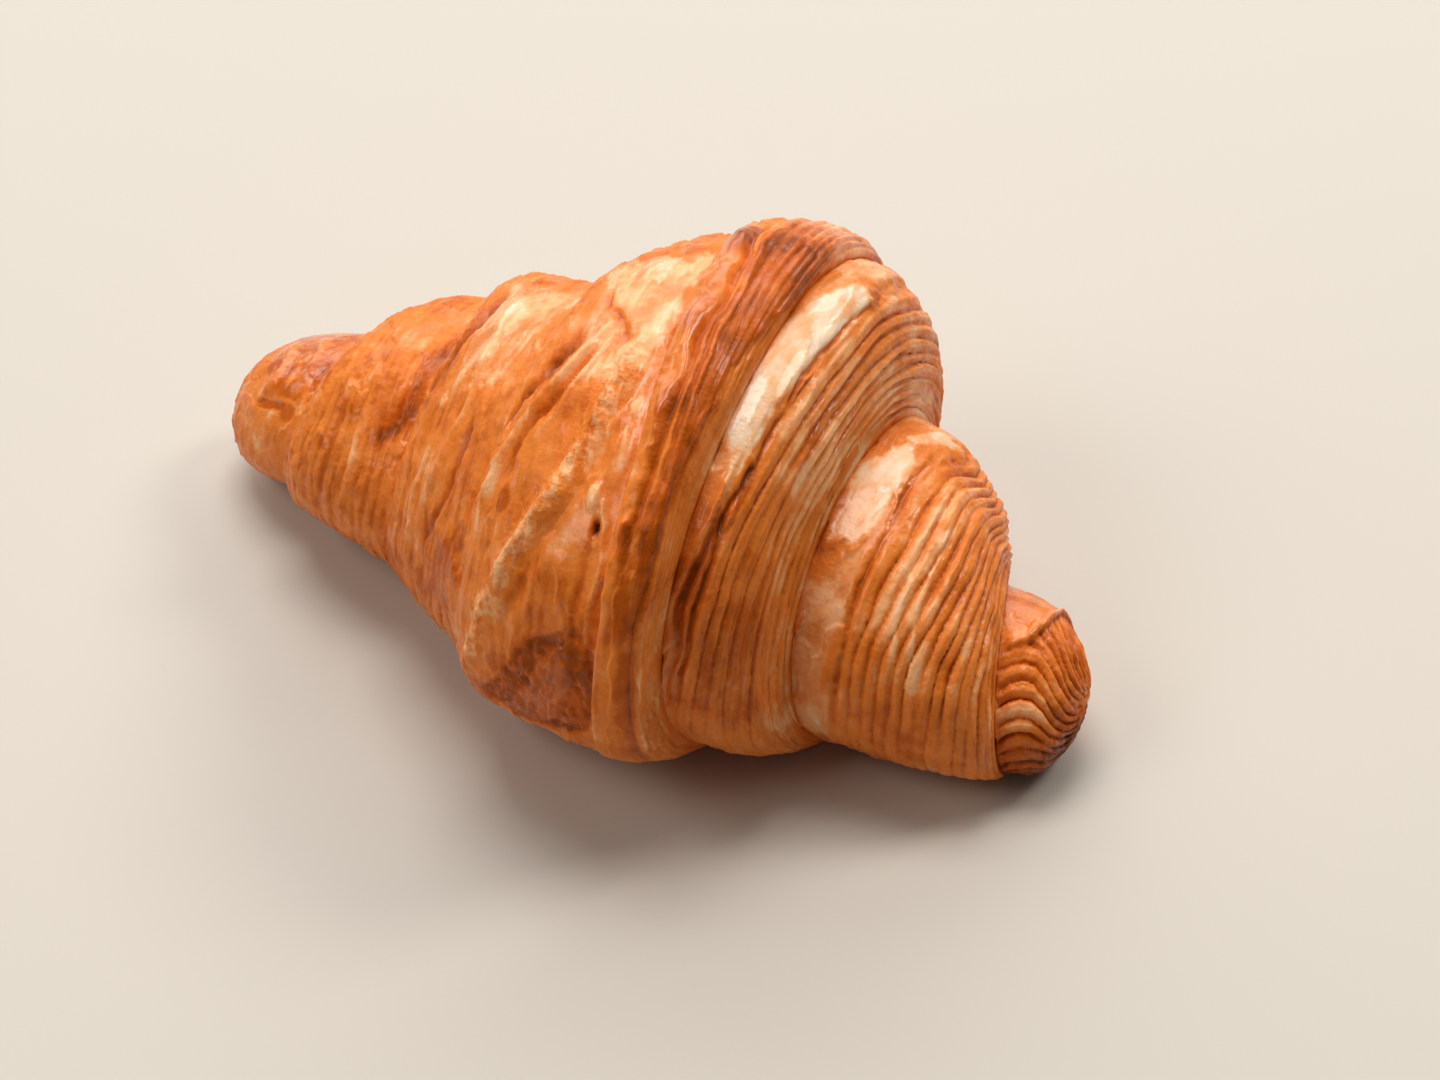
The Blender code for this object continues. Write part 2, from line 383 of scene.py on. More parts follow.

# %% [markdown]
# Then its folds, patches and spots. Each row says what it does to the crust: raise it in mm,
# brown it (or make it paler, when negative), and glaze it. Most rows that cut a crease also
# darken it, as painted shade, and most that raise a glazed line or patch make it paler, partly as
# a painted highlight.

# %% Lines, patches and spots
# Lines round a wrap: shell, width mm, raise mm, browning (with the painted shade and highlights above), glaze,
# (degrees, share) places.
LINES = (
    # the crown: smooth strip, fine bright ridges, and the edge that burnt
    ("crown", 2.8, 1.3, 0.08, 1.0, ((150, -0.65), (160, -0.62), (190, -0.48), (203, -0.5))),
    ("crown", 2.8, 1.3, 0.10, 0.1, ((112, -0.78), (120, -0.75), (152, -0.65))),
    ("crown", 0.5, 0.7, -0.08, 0.3, ((138, -0.30), (165, -0.16), (190, -0.10), (212, -0.2))),
    ("crown", 0.4, 0.6, -0.08, 0.3, ((130, -0.05), (160, 0.05), (180, 0.04), (205, 0.0))),
    ("crown", 0.6, -0.7, 0.14, 0.0, ((118, -0.62), (150, -0.40), (180, -0.24), (212, -0.3))),
    ("crown", 1.6, 0.6, 0.10, 0.0, ((184, 0.84), (200, 0.88), (216, 0.86))),
    ("crown", 0.9, -0.5, 0.08, 0.3, ((60, -0.1), (95, 0.15), (120, 0.30), (150, 0.62))),
    ("crown", 0.6, 0.5, -0.08, 0.3, ((66, 0.45), (88, 0.55), (108, 0.60), (128, 0.52))),
    # the short wraps: a lip of glazed skin where the ridges begin, with painted shade in the crease
    # beside it; on the first wrap, glazed ridges made paler as painted highlights
    ("short_wrap_2", 0.5, 0.5, -0.03, 0.3,
     ((84, 0.02), (100, 0.03), (112, 0.09), (122, 0.17), (135, 0.31), (147, 0.27))),
    ("short_wrap_2", 0.9, -0.9, 0.14, 0.0, ((96, 0.10), (112, 0.17), (122, 0.25), (135, 0.37))),
    ("short_wrap_2", 0.5, -0.8, 0.12, 0.0,
     ((90, 0.20), (119, 0.39), (134, 0.42), (150, 0.47), (165, 0.49), (184, 0.54), (200, 0.55))),
    ("short_wrap_1", 0.5, -0.4, 0.06, 0.0, ((80, 0.20), (115, 0.24), (149, 0.31), (199, 0.36))),
    ("short_wrap_1", 1.6, 0.3, 0.03, 0.9, ((136, 0.31), (166, 0.32), (184, 0.33), (192, 0.36), (199, 0.40))),
    ("short_wrap_1", 0.7, 0.3, -0.13, 0.8, ((118, 0.52), (144, 0.51), (156, 0.51), (168, 0.54), (180, 0.58), (193, 0.61))),
    ("short_wrap_1", 0.6, 0.3, -0.12, 0.8, ((122, 0.60), (143, 0.59), (158, 0.61), (168, 0.64), (180, 0.68))),
    ("short_wrap_1", 0.5, 0.2, -0.08, 0.6, ((134, 0.64), (150, 0.68), (162, 0.71))),
    # the third long wrap: crumbly fold, the stripes beyond it, the torn lip beside the crown
    ("long_wrap_3", 1.8, 1.6, -0.02, 0.0,
     ((86, 0.84), (93, 0.80), (106, 0.73), (118, 0.66), (130, 0.56), (140, 0.43), (149, 0.35), (160, 0.32),
      (171, 0.25))),
    ("long_wrap_3", 1.2, -0.5, -0.04, 0.3,
     ((104, 0.58), (118, 0.50), (130, 0.41), (140, 0.29), (149, 0.21), (158, 0.17))),
    # the lip near the rim is paler, partly as a painted highlight; the groove beside it and the band at the rim are
    # darkened as painted shade
    ("long_wrap_3", 0.7, 1.0, -0.06, 0.4,
     ((128, 0.94), (134, 0.93), (140, 0.91), (147, 0.85), (155, 0.79), (161, 0.72), (166, 0.66), (173, 0.58))),
    ("long_wrap_3", 0.6, -0.8, 0.12, 0.0, ((138, 0.84), (147, 0.77), (155, 0.70), (161, 0.64), (168, 0.56))),
    ("long_wrap_3", 0.5, 0.6, -0.06, 0.4, ((148, 0.67), (155, 0.61), (161, 0.58), (166, 0.53), (174, 0.46))),
    ("long_wrap_3", 1.3, -1.3, 0.20, 0.0, ((142, 1.0), (150, 0.99), (156, 0.95), (161, 0.88), (165, 0.83), (172, 0.74))),
    ("long_wrap_3", 1.0, -0.9, 0.20, 0.3, ((172, 0.38), (178, 0.46), (183, 0.60), (189, 0.66))),
    ("long_wrap_3", 0.5, 0.6, -0.08, 0.4,
     ((102, 0.09), (107, 0.08), (115, 0.08), (124, 0.05), (131, 0.09), (138, 0.18))),
    ("long_wrap_3", 0.6, -0.5, 0.10, 0.0, ((104, 0.17), (115, 0.16), (124, 0.13))),
    # the second and first long wraps: a red-brown stripe over their seam, painted shade under the
    # rim above it, and faint stripes below
    ("long_wrap_2", 1.8, -0.9, 0.16, 0.3, ((150, 0.97), (160, 0.92), (170, 0.86), (178, 0.80), (196, 0.77))),
    ("long_wrap_1", 1.8, -0.7, 0.16, 0.3, ((132, 0.26), (140, 0.20), (153, 0.14), (169, 0.12), (180, 0.05))),
    ("long_wrap_2", 0.8, -0.6, 0.09, 0.2, ((106, 0.52), (121, 0.41), (134, 0.36), (146, 0.34))),
    ("long_wrap_2", 0.8, 0.5, -0.04, 0.2, ((114, 0.62), (134, 0.52), (150, 0.46), (160, 0.42))),
    ("long_wrap_2", 0.7, 0.5, -0.04, 0.2, ((78, 0.66), (98, 0.70), (116, 0.72), (136, 0.66))),
    ("long_wrap_1", 0.7, 0.4, -0.04, 0.1, ((76, 0.40), (110, 0.38), (140, 0.42), (160, 0.40))),
    ("long_wrap_1", 0.7, -0.4, 0.06, 0.1, ((84, 0.60), (115, 0.56), (138, 0.58), (156, 0.60))),
    # creases on the far tip: the dark crease is painted shade, and two raised glazed folds
    ("long_tip", 0.9, -0.4, 0.12, 0.3, ((150, 0.10), (158, 0.13), (170, 0.12))),
    ("long_tip", 1.2, 0.5, -0.02, 0.8, ((146, 0.30), (160, 0.26), (180, 0.30), (196, 0.40))),
    ("long_tip", 1.0, 0.4, -0.02, 0.8, ((140, 0.52), (160, 0.50), (185, 0.58))),
)
# Patches between two lines: shell, raise mm, browning (negative is paler, on glazed patches partly
# a painted highlight), glaze, blisters, and the lower and upper line as (degrees, share) places.
ZONES = (
    ("crown", 0.0, 0.08, 0.0, 0.0, ((108, -0.35), (135, -0.25), (160, -0.2)), ((108, 0.42), (135, 0.5), (160, 0.6))),
    ("crown", 0.0, 0.13, 0.0, 0.0, ((104, -0.8), (125, -0.72), (154, -0.62)), ((104, -0.3), (125, -0.18), (154, -0.22))),
    ("crown", 0.25, 0.15, 0.0, 0.0,
     ((115, -0.35), (135, -0.25), (150, -0.2), (170, -0.2), (190, -0.1), (205, 0.1)),
     ((115, 0.42), (135, 0.5), (150, 0.6), (165, 0.75), (180, 0.95), (190, 1.1), (205, 0.9))),
    ("crown", 0.25, 0.12, 0.0, 0.0,
     ((115, -0.35), (135, -0.25), (150, -0.2), (170, -0.2), (190, -0.1), (214, 0.0)),
     ((115, 0.42), (135, 0.5), (150, 0.6), (165, 0.75), (180, 0.95), (190, 1.1), (214, 0.8))),
    ("crown", 0.0, -0.07, 0.5, 0.0, ((208, 0.1), (224, 0.1), (244, 0.3)), ((208, 1.1), (224, 1.1), (244, 0.9))),
    ("crown", 0.2, 0.07, 0.9, 0.0, ((172, -0.72), (190, -0.66), (204, -0.66)), ((172, -0.44), (190, -0.36), (204, -0.36))),
    ("crown", 0.0, 0.13, 0.0, 0.0, ((50, -0.3), (85, -0.45), (103, -0.42)), ((50, 0.0), (85, 0.25), (103, 0.36))),
    ("short_wrap_2", 0.0, 0.04, 0.0, 0.0, ((84, 0.4), (119, 0.42), (152, 0.5)), ((84, 1.1), (119, 1.1), (152, 1.1))),
    ("short_wrap_1", 0.0, -0.05, 0.0, 0.0, ((110, 0.4), (150, 0.4), (200, 0.4)), ((110, 0.9), (150, 1.0), (200, 1.0))),
    ("short_wrap_2", 0.0, -0.05, 0.0, 0.0, ((158, 0.5), (200, 0.56), (240, 0.4)), ((158, 1.1), (200, 1.1), (240, 1.1))),
    # the cream patch of glazed skin on the second short wrap: paler crust with a painted highlight
    ("short_wrap_2", 0.0, -0.30, 1.0, 0.0,
     ((146, 0.22), (152, 0.0), (166, -0.02), (176, 0.0), (191, 0.10), (206, 0.34)),
     ((146, 0.34), (150, 0.40), (154, 0.42), (159, 0.39), (167, 0.46), (181, 0.52), (195, 0.57), (206, 0.53))),
    ("short_wrap_2", 0.0, -0.12, 0.2, 0.0, ((74, 0.90), (120, 0.88), (165, 0.84), (206, 0.88)), ((74, 1.1), (206, 1.1))),
    ("short_wrap_2", 0.0, -0.10, 0.5, 0.0, ((206, 0.0), (222, 0.0), (238, 0.1)), ((206, 0.46), (222, 0.44), (238, 0.3))),
    ("short_wrap_2", 0.0, 0.06, 0.7, 0.0, ((84, 0.0), (120, 0.0), (150, 0.0)),
     ((84, 0.12), (119, 0.34), (134, 0.38), (150, 0.42))),
    # the cream patch of glazed skin on the first short wrap: paler crust with a painted highlight
    ("short_wrap_1", 0.0, -0.27, 1.0, 0.0,
     ((152, 0.04), (158, 0.03), (173, 0.03), (186, 0.05), (202, 0.16)),
     ((152, 0.14), (158, 0.21), (166, 0.26), (179, 0.27), (194, 0.29), (202, 0.24))),
    ("short_wrap_1", 0.2, -0.15, 0.8, 0.0, ((204, 0.12), (212, 0.2), (226, 0.3)), ((204, 0.26), (216, 0.42), (226, 0.5))),
    ("short_wrap_1", 0.0, -0.10, 0.3, 0.0, ((70, -0.1), (140, -0.1)), ((70, 0.14), (100, 0.20), (140, 0.20))),
    ("long_wrap_3", -0.25, 0.19, 0.0, 0.8, ((64, 0.45), (68, 0.30), (76, 0.06), (84, 0.0), (106, 0.03)),
     ((64, 0.76), (68, 0.80), (74, 0.78), (84, 0.66), (92, 0.58), (101, 0.47), (106, 0.24))),
    ("long_wrap_3", 0.3, -0.05, 0.6, 0.0, ((66, 0.42), (78, 0.22), (100, 0.16)),
     ((66, 0.64), (78, 0.52), (92, 0.40), (100, 0.30))),
    ("long_wrap_3", 0.0, -0.06, 0.9, 0.0, ((128, 0.0), (160, 0.0), (172, 0.0)),
     ((128, 0.30), (149, 0.18), (160, 0.20), (172, 0.20))),
    # paler tops of the third and second long wraps: partly a painted highlight
    ("long_wrap_3", 0.0, -0.16, 0.7, 0.0, ((164, 0.14), (205, 0.06)), ((164, 0.60), (205, 0.84))),
    ("long_wrap_2", 0.0, -0.09, 0.7, 0.0, ((158, 0.28), (176, 0.20), (205, 0.08)),
     ((158, 0.64), (176, 0.76), (205, 0.72))),
    ("long_tip", 0.0, 0.14, 0.9, 0.0, ((140, -0.2), (220, -0.2)), ((140, 0.5), (180, 0.7), (220, 0.6))),
)
# Spots: shell, degrees, share, half sizes in mm round and along, raise mm, browning, glaze. On the
# pale glazed spots the paler colour is partly a painted highlight.
SPOTS = (
    ("crown", 199, -0.50, 7.0, 3.2, 0.8, 0.15, 0.6),
    ("short_wrap_2", 212, 0.62, 4.0, 1.8, 0.2, -0.12, 0.6),
    ("short_wrap_2", 207, 0.50, 3.0, 2.2, 0.4, 0.12, 0.2),
    ("long_wrap_3", 196, 0.40, 5.0, 4.2, 0.4, -0.08, 0.9),
    ("long_wrap_3", 178, 0.13, 6.0, 2.4, 0.4, -0.12, 1.0),
    ("long_wrap_3", 169, 0.34, 3.2, 1.4, 0.5, -0.08, 0.9),
    ("long_wrap_3", 190, 0.66, 3.5, 3.5, 0.3, -0.05, 0.8),
    ("long_wrap_3", 205, 0.30, 6.0, 3.0, 0.2, 0.06, 0.4),
    # a dark hole in the pale flap: sunken, and painted darker as shade
    ("long_wrap_3", 131, 0.145, 1.5, 0.7, -1.4, 0.36, 0.0),
    ("long_wrap_3", 137, 0.20, 2.4, 1.2, 0.8, -0.16, 0.9),
    ("long_wrap_3", 148, 0.08, 3.6, 1.6, 0.4, -0.10, 1.0),
    ("long_wrap_3", 157, 0.10, 2.4, 1.6, 0.4, -0.12, 1.0),
    ("long_wrap_3", 126, 0.84, 5.0, 2.4, 0.2, 0.20, 0.5),
    ("long_wrap_3", 133, 0.78, 3.0, 1.6, -0.1, 0.16, 0.3),
    ("long_wrap_3", 116, 0.36, 8.0, 4.0, 0.4, 0.06, 0.6),
    ("long_wrap_2", 101, 0.26, 8.0, 4.8, 0.7, 0.18, 0.5),
    ("long_wrap_2", 116, 0.16, 3.0, 1.8, -0.2, 0.10, 0.3),
    ("long_wrap_2", 184, 0.50, 6.0, 4.0, 0.4, -0.08, 0.9),
    ("long_wrap_2", 170, 0.52, 4.0, 2.5, 0.3, -0.06, 0.8),
    ("long_wrap_2", 158, 0.62, 1.8, 1.0, 0.4, -0.10, 0.9),
    ("long_wrap_2", 150, 0.70, 1.6, 0.9, 0.4, -0.08, 0.9),
    ("long_wrap_2", 147, 0.24, 2.0, 1.0, 0.3, -0.08, 0.7),
    ("long_wrap_1", 150, 0.62, 1.8, 1.1, 0.4, -0.08, 0.7),
    ("long_wrap_1", 160, 0.50, 2.4, 1.2, 0.4, -0.06, 0.6),
    # the dark crease between the far tip and its wrap: sunken, and painted darker as shade
    ("long_tip", 133, 0.42, 1.2, 4.5, -0.25, 0.28, 0.0),
    ("long_tip", 129, 0.20, 1.8, 2.0, -0.2, 0.14, 0.2),
    ("long_tip", 146, 0.36, 3.0, 5.0, 0.2, 0.05, 0.9),
    ("long_tip", 172, 0.36, 2.2, 1.6, 0.3, -0.08, 0.9),
    ("long_tip", 185, 0.60, 2.6, 1.8, 0.3, -0.06, 0.9),
)
print(len(LINES), "lines,", len(ZONES), "patches and", len(SPOTS), "spots")

# %% [markdown]
# The tables turn into fields here. Distances are measured over the surface in millimetres, and
# every border is frayed by the same noise, so a line wavers and a patch has a torn outline.

# %% Fields of the crust
def at_angles(places):
    """A value for every column, through (degrees, value) places."""
    degrees, values = zip(*places)
    return np.interp(DEGREES, degrees, values)


def run_at(places, share, run):
    """How far along its shell, in mm, a line of (degrees, share) places lies in every column."""
    line = at_angles(places)
    return np.array([np.interp(line[i], share[:, i], run[:, i]) for i in range(COLUMNS)])


def reach_of(places, blur=7.0):
    """One at the angles that the places span, fading out beyond them."""
    return window(DEGREES, places[0][0], places[-1][0], blur)


def layout(name, points, share, run):
    """The fields of one shell's outer face, each a value for every point."""
    fray = 0.6 * mottle(points, 3.0, 11) + 0.4 * mottle(points, 1.1, 12)
    slow_fray = mottle(points, 9.0, 13)
    around = np.cumsum(np.linalg.norm(points - np.roll(points, 1, axis=1), axis=2), axis=1)
    fields = {key: np.zeros(share.shape) for key in ("lift", "bake_and_painted_light", "skin", "blister", "crumb")}
    fields["run"] = run
    fields["bake_and_painted_light"] -= 0.06 * window(DEGREES, 20.0, 62.0, 12.0)
    fields["bake_and_painted_light"] += {"long_wrap_1": 0.03, "long_wrap_2": 0.03, "long_wrap_3": 0.04}.get(name, 0.0)

    count, depths, start = RIDGES[name]
    begin = run_at(start, share, run)
    part = (run - begin) / (run[-1] - begin)
    closing = 1.0 + 0.4 * window(DEGREES, 150.0, 260.0, 30.0)
    rib = np.sign(part) * np.abs(part) ** closing * (count + 0.5)
    ribbed = soft_step(-0.35, 0.25, rib + 0.4 * fray) * at_angles(depths)
    ribbed = ribbed * soft_step(0.1, 1.0, run[-1] - run)
    if name == "short_tip":
        rib = (np.interp(share, *zip(*TIP_SWEEP)) - DEGREES) / TIP_RIDGE_DEGREES
        below_skin = np.interp(share, *zip(*TIP_SKIN)) - DEGREES + 5.0 * fray
        ribbed = at_angles(depths) * soft_step(-2.0, 3.0, below_skin) * window(share, 0.04, 0.93, 0.05)
        fields["skin"] = 0.8 * (1.0 - soft_step(-3.0, 2.0, below_skin)) * window(DEGREES, 140.0, 300.0, 10.0)
        fields["lift"] += 0.7 * np.exp(-(((below_skin + 6.0) / 7.0) ** 2)) * window(share, 0.1, 0.7, 0.08)
        fields["bake_and_painted_light"] += 0.16 * np.exp(-(((below_skin - 2.0) / 5.0) ** 2)) * window(share, 0.0, 0.7, 0.08)
        # darker towards the tip's foot: browning, deepened with painted shade
        fields["bake_and_painted_light"] += 0.50 * (1.0 - soft_step(40.0, 125.0, DEGREES)) + 0.10 * soft_step(0.6, 1.0, share)
    fields["rib"], fields["ribbed"] = rib, ribbed

    for shell, width, lift, bake_and_painted_light, skin, places in LINES:
        if shell != name:
            continue
        waver = 0.2 * fray + 0.8 * slow_fray if lift > 1.5 else 0.5 * fray + 0.8 * slow_fray
        off = run - run_at(places, share, run) + waver
        slope = np.where(off > 0, 0.6, 1.5) if lift > 0 else 1.0
        line = np.exp(-((off / width / slope) ** 2)) * reach_of(places) * (1.0 + 0.5 * fray + 0.3 * slow_fray)
        fields["lift"] += lift * line
        fields["bake_and_painted_light"] += bake_and_painted_light * line
        fields["skin"] = np.maximum(fields["skin"], skin * line)
        if name == "long_wrap_3" and lift > 1.5:
            fields["crumb"] = np.exp(-((off / 2.6) ** 2)) * reach_of(places)
            fields["bake_and_painted_light"] -= fields["crumb"] * np.interp(DEGREES, (95.0, 135.0), (0.02, 0.08))
    for shell, lift, bake_and_painted_light, skin, blister, lower, upper in ZONES:
        if shell != name:
            continue
        over = soft_step(-0.6, 0.6, run - run_at(lower, share, run) + 0.7 * fray + 0.8 * slow_fray)
        under = soft_step(-0.6, 0.6, run_at(upper, share, run) - run + 0.9 * fray + 1.0 * slow_fray)
        ends = window(DEGREES + 4.0 * fray + 5.0 * slow_fray, lower[0][0], lower[-1][0], 2.5)
        inside = over * under * ends * (1.0 + 0.18 * slow_fray)
        fields["lift"] += lift * inside
        fields["bake_and_painted_light"] += bake_and_painted_light * inside
        fields["skin"] = np.maximum(fields["skin"], skin * inside)
        fields["blister"] = np.maximum(fields["blister"], blister * inside)
        fields["ribbed"] *= 1.0 - 0.9 * inside * (skin > 0.6)
    for shell, degrees, at_share, half_round, half_along, lift, bake_and_painted_light, skin in SPOTS:
        if shell != name:
            continue
        column = int(degrees / 360.0 * COLUMNS)
        off_along = run - np.interp(at_share, share[:, column], run[:, column])
        off_round = around - around[:, column: column + 1]
        off = np.hypot(off_along / half_along, off_round / half_round) + 0.35 * fray
        spot = 1.0 - soft_step(0.45, 1.1, off)
        fields["lift"] += lift * spot
        fields["bake_and_painted_light"] += bake_and_painted_light * spot
        fields["skin"] = np.maximum(fields["skin"], skin * spot)
    return fields


# %% [markdown]
# Each shell becomes a mesh: its outer rows, then a few rows back along the inside, joined into
# one closed skin. The fields ride along as point attributes, for the nodes to read.

# %% Meshes of the shells
INSIDE_ROWS = 6


def inside_rows(points):
    """Rows that lead back inside the shell, from its edge to its hidden start."""
    centre = points.mean(axis=1, keepdims=True)
    reach = np.linalg.norm((points - centre)[..., 1:], axis=2, keepdims=True)
    shrunk = centre + (points - centre) * np.clip(1.0 - SKIN_MM / np.maximum(reach, 0.1), 0.05, 1.0)
    picks = np.linspace(len(points) - 1, 0, INSIDE_ROWS).astype(int)
    rows = shrunk[picks]
    rows[..., 2] = np.maximum(rows[..., 2], SKIN_MM)
    return rows


def store(mesh, key, values):
    attribute = mesh.attributes.new(key, "FLOAT", "POINT")
    attribute.data.foreach_set("value", values.astype(np.float32))


def shell_mesh(name):
    points, share, run = faces_of[name]
    fields = layout(name, points, share, run)
    fields["shown"] = soft_step(0.0, 1.2, run[-1] - run)
    if name == "crown":
        fields["shown"] *= soft_step(0.0, 1.2, run)
    is_tip = name.endswith("tip")
    if is_tip:
        rows = points[:-1]
        poles = np.array([points[0].mean(axis=0), points[-1].mean(axis=0)])
        fields = {key: field[:-1] for key, field in fields.items()}
        vertices = np.vstack([rows.reshape(-1, 3), poles])
    else:
        rows = np.concatenate([points, inside_rows(points)])
        vertices = rows.reshape(-1, 3)
    total = len(rows)
    here = np.arange(total - 1 if is_tip else total)[:, None] * COLUMNS + np.arange(COLUMNS)
    there = (here + COLUMNS) % (total * COLUMNS)
    quads = np.stack([here, there, np.roll(there, -1, axis=1), np.roll(here, -1, axis=1)], axis=-1)
    faces = [tuple(face) for face in quads.reshape(-1, 4).tolist()]
    if is_tip:
        last, ring = (total - 1) * COLUMNS, range(COLUMNS)
        faces += [(i, (i + 1) % COLUMNS, total * COLUMNS) for i in ring]
        faces += [(last + (i + 1) % COLUMNS, last + i, total * COLUMNS + 1) for i in ring]
    mesh = bpy.data.meshes.new(name)
    mesh.from_pydata(((vertices + shift) * MM).tolist(), [], faces)
    store(mesh, "angle", np.resize(ANGLE, len(vertices)))
    for key, field in fields.items():
        values = np.zeros(len(vertices))
        values[: field.size] = field.ravel()
        store(mesh, key, values)
    return mesh


def volume_of(mesh):
    """The volume a closed mesh holds, in millilitres: negative if its faces point inwards."""
    mesh.calc_loop_triangles()
    corners = np.empty(len(mesh.loop_triangles) * 3, np.int32)
    mesh.loop_triangles.foreach_get("vertices", corners)
    points = np.empty(len(mesh.vertices) * 3, np.float32)
    mesh.vertices.foreach_get("co", points)
    a, b, c = points.reshape(-1, 3)[corners.reshape(-1, 3)].transpose(1, 0, 2).astype(float)
    return (a * np.cross(b, c)).sum() / 6.0 * 1e6


shells = {}
for name in SHELLS:
    mesh = shell_mesh(name)
    if volume_of(mesh) < 0:
        mesh.flip_normals()
    shells[name] = bpy.data.objects.new(name, mesh)
    bpy.context.scene.collection.objects.link(shells[name])
    print(f"{name}: {2 * len(mesh.polygons)} triangles, {volume_of(mesh):.0f} millilitres")

# %% [markdown]
# Geometry Nodes now press the relief into every shell. The tree is the same for all of them,
# and its named inputs set how deep and how crooked the ridges are. Each ridge gets its own
# strength from noise, so some stand out and some melt into their neighbours.

# %% A small kit for node trees
def node(tree, kind, inputs=(), **settings):
    """A new node with its settings, and its inputs linked or filled in order or by name."""
    made = tree.nodes.new(kind)
    for key, value in settings.items():
        setattr(made, key, value)
    pairs = inputs.items() if isinstance(inputs, dict) else enumerate(inputs)
    for key, value in pairs:
        if isinstance(value, bpy.types.NodeSocket):
            tree.links.new(value, made.inputs[key])
        else:
            made.inputs[key].default_value = value
    return made


def maths(tree, operation, *values):
    """The output of a Math node."""
    return node(tree, "ShaderNodeMath", values, operation=operation).outputs[0]


def product(tree, *values):
    result = values[0]
    for value in values[1:]:
        result = maths(tree, "MULTIPLY", result, value)
    return result


def total_of(tree, *values):
    result = values[0]
    for value in values[1:]:
        result = maths(tree, "ADD", result, value)
    return result


def remap(tree, value, from_low, from_high, to_low, to_high):
    inputs = {"Value": value, "From Min": from_low, "From Max": from_high, "To Min": to_low, "To Max": to_high}
    return node(tree, "ShaderNodeMapRange", inputs, interpolation_type="SMOOTHSTEP").outputs["Result"]


def field_of(tree, key):
    inputs = {"Name": key}
    return node(tree, "GeometryNodeInputNamedAttribute", inputs, data_type="FLOAT").outputs["Attribute"]


